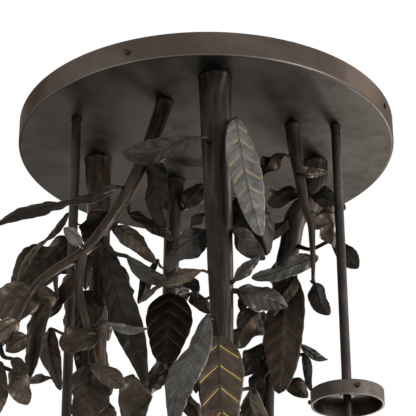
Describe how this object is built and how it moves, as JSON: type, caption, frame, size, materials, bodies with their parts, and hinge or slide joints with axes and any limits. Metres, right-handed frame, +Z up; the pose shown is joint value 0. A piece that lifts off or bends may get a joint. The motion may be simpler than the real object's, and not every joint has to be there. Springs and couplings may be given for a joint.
{
  "type": "pendant light",
  "caption": "Flush round ceiling canopy with hanging metal branches and embossed leaves, and straight rods that end in open shade cups over screw lampholders.",
  "frame": {"origin": "centre of the ceiling face, between the two outlet box screws", "axes": "+Z up into the ceiling, +X to the right and -Y towards the viewer in the picture"},
  "size_m": [0.671, 0.61, 0.796],
  "materials": {
    "bronze_paint": "satin oil-rubbed bronze",
    "branch_metal": "grooved bark, dark brown patina",
    "leaf_metal": "embossed sheet, dark patina with gilded veins",
    "zinc_steel": "zinc plated",
    "holder_plastic": "moulded phenolic",
    "block_plastic": "moulded",
    "brass_screws": "plain",
    "ground_paint": "green dyed"
  },
  "bodies": {
    "fixture": {"canopy_pan": "bronze_paint", "ceiling_bracket": "zinc_steel", "ground_screw": "ground_paint", "terminal_block": "block_plastic", "terminal_screws": "brass_screws", "rod_left": "bronze_paint", "rod_right": "bronze_paint", "rod_back": "bronze_paint", "rod_nuts": "zinc_steel", "rod_collar_left": "bronze_paint", "rod_collar_right": "bronze_paint", "rod_collar_back": "bronze_paint", "gallery_left": "bronze_paint", "gallery_right": "bronze_paint", "gallery_back": "bronze_paint", "gallery_nuts": "bronze_paint", "stem_left": "bronze_paint", "stem_right": "bronze_paint", "stem_back": "bronze_paint", "holder_cap_left": "bronze_paint", "holder_cap_right": "bronze_paint", "holder_cap_back": "bronze_paint", "lampholder_left": "holder_plastic", "lampholder_right": "holder_plastic", "lampholder_back": "holder_plastic", "branch_studs": "zinc_steel", "branch_washers": "zinc_steel", "branch_nuts": "zinc_steel", "trunk": "branch_metal", "left_branch": "branch_metal", "left_twig": "branch_metal", "back_left_branch": "branch_metal", "middle_branch": "branch_metal", "thin_branch": "branch_metal", "thick_branch": "branch_metal", "trunk_upper_leaves": "leaf_metal", "trunk_lower_leaves": "leaf_metal", "left_upper_leaves": "leaf_metal", "left_lower_leaves": "leaf_metal", "left_twig_leaves": "leaf_metal", "back_left_leaves": "leaf_metal", "middle_leaves": "leaf_metal", "thin_branch_leaves": "leaf_metal", "thick_upper_leaves": "leaf_metal", "thick_lower_leaves": "leaf_metal"},
    "side_screw_1": {"side_screw_1": "bronze_paint"},
    "side_screw_2": {"side_screw_2": "bronze_paint"},
    "side_screw_3": {"side_screw_3": "bronze_paint"},
    "side_screw_4": {"side_screw_4": "bronze_paint"},
    "thumb_screw_left_1": {"thumb_screw_left_1": "bronze_paint"},
    "thumb_screw_left_2": {"thumb_screw_left_2": "bronze_paint"},
    "thumb_screw_left_3": {"thumb_screw_left_3": "bronze_paint"},
    "thumb_screw_right_1": {"thumb_screw_right_1": "bronze_paint"},
    "thumb_screw_right_2": {"thumb_screw_right_2": "bronze_paint"},
    "thumb_screw_right_3": {"thumb_screw_right_3": "bronze_paint"},
    "thumb_screw_back_1": {"thumb_screw_back_1": "bronze_paint"},
    "thumb_screw_back_2": {"thumb_screw_back_2": "bronze_paint"},
    "thumb_screw_back_3": {"thumb_screw_back_3": "bronze_paint"}
  },
  "joints": [
    {"name": "side_screw_1_out", "type": "slide", "parent": "fixture", "child": "side_screw_1", "axis": [0.3827, 0.9239, 0], "range_m": [0, 0.008]},
    {"name": "side_screw_2_out", "type": "slide", "parent": "fixture", "child": "side_screw_2", "axis": [-0.9239, 0.3827, 0], "range_m": [0, 0.008]},
    {"name": "side_screw_3_out", "type": "slide", "parent": "fixture", "child": "side_screw_3", "axis": [-0.3827, -0.9239, 0], "range_m": [0, 0.008]},
    {"name": "side_screw_4_out", "type": "slide", "parent": "fixture", "child": "side_screw_4", "axis": [0.9239, -0.3827, 0], "range_m": [0, 0.008]},
    {"name": "thumb_screw_left_1_out", "type": "slide", "parent": "fixture", "child": "thumb_screw_left_1", "axis": [0.7547, 0.6561, 0], "range_m": [0, 0.005]},
    {"name": "thumb_screw_left_2_out", "type": "slide", "parent": "fixture", "child": "thumb_screw_left_2", "axis": [-0.9455, 0.3256, 0], "range_m": [0, 0.005]},
    {"name": "thumb_screw_left_3_out", "type": "slide", "parent": "fixture", "child": "thumb_screw_left_3", "axis": [0.1908, -0.9816, 0], "range_m": [0, 0.005]},
    {"name": "thumb_screw_right_1_out", "type": "slide", "parent": "fixture", "child": "thumb_screw_right_1", "axis": [0.7547, 0.6561, 0], "range_m": [0, 0.005]},
    {"name": "thumb_screw_right_2_out", "type": "slide", "parent": "fixture", "child": "thumb_screw_right_2", "axis": [-0.9455, 0.3256, 0], "range_m": [0, 0.005]},
    {"name": "thumb_screw_right_3_out", "type": "slide", "parent": "fixture", "child": "thumb_screw_right_3", "axis": [0.1908, -0.9816, 0], "range_m": [0, 0.005]},
    {"name": "thumb_screw_back_1_out", "type": "slide", "parent": "fixture", "child": "thumb_screw_back_1", "axis": [0.7547, 0.6561, 0], "range_m": [0, 0.005]},
    {"name": "thumb_screw_back_2_out", "type": "slide", "parent": "fixture", "child": "thumb_screw_back_2", "axis": [-0.9455, 0.3256, 0], "range_m": [0, 0.005]},
    {"name": "thumb_screw_back_3_out", "type": "slide", "parent": "fixture", "child": "thumb_screw_back_3", "axis": [0.1908, -0.9816, 0], "range_m": [0, 0.005]}
  ]
}
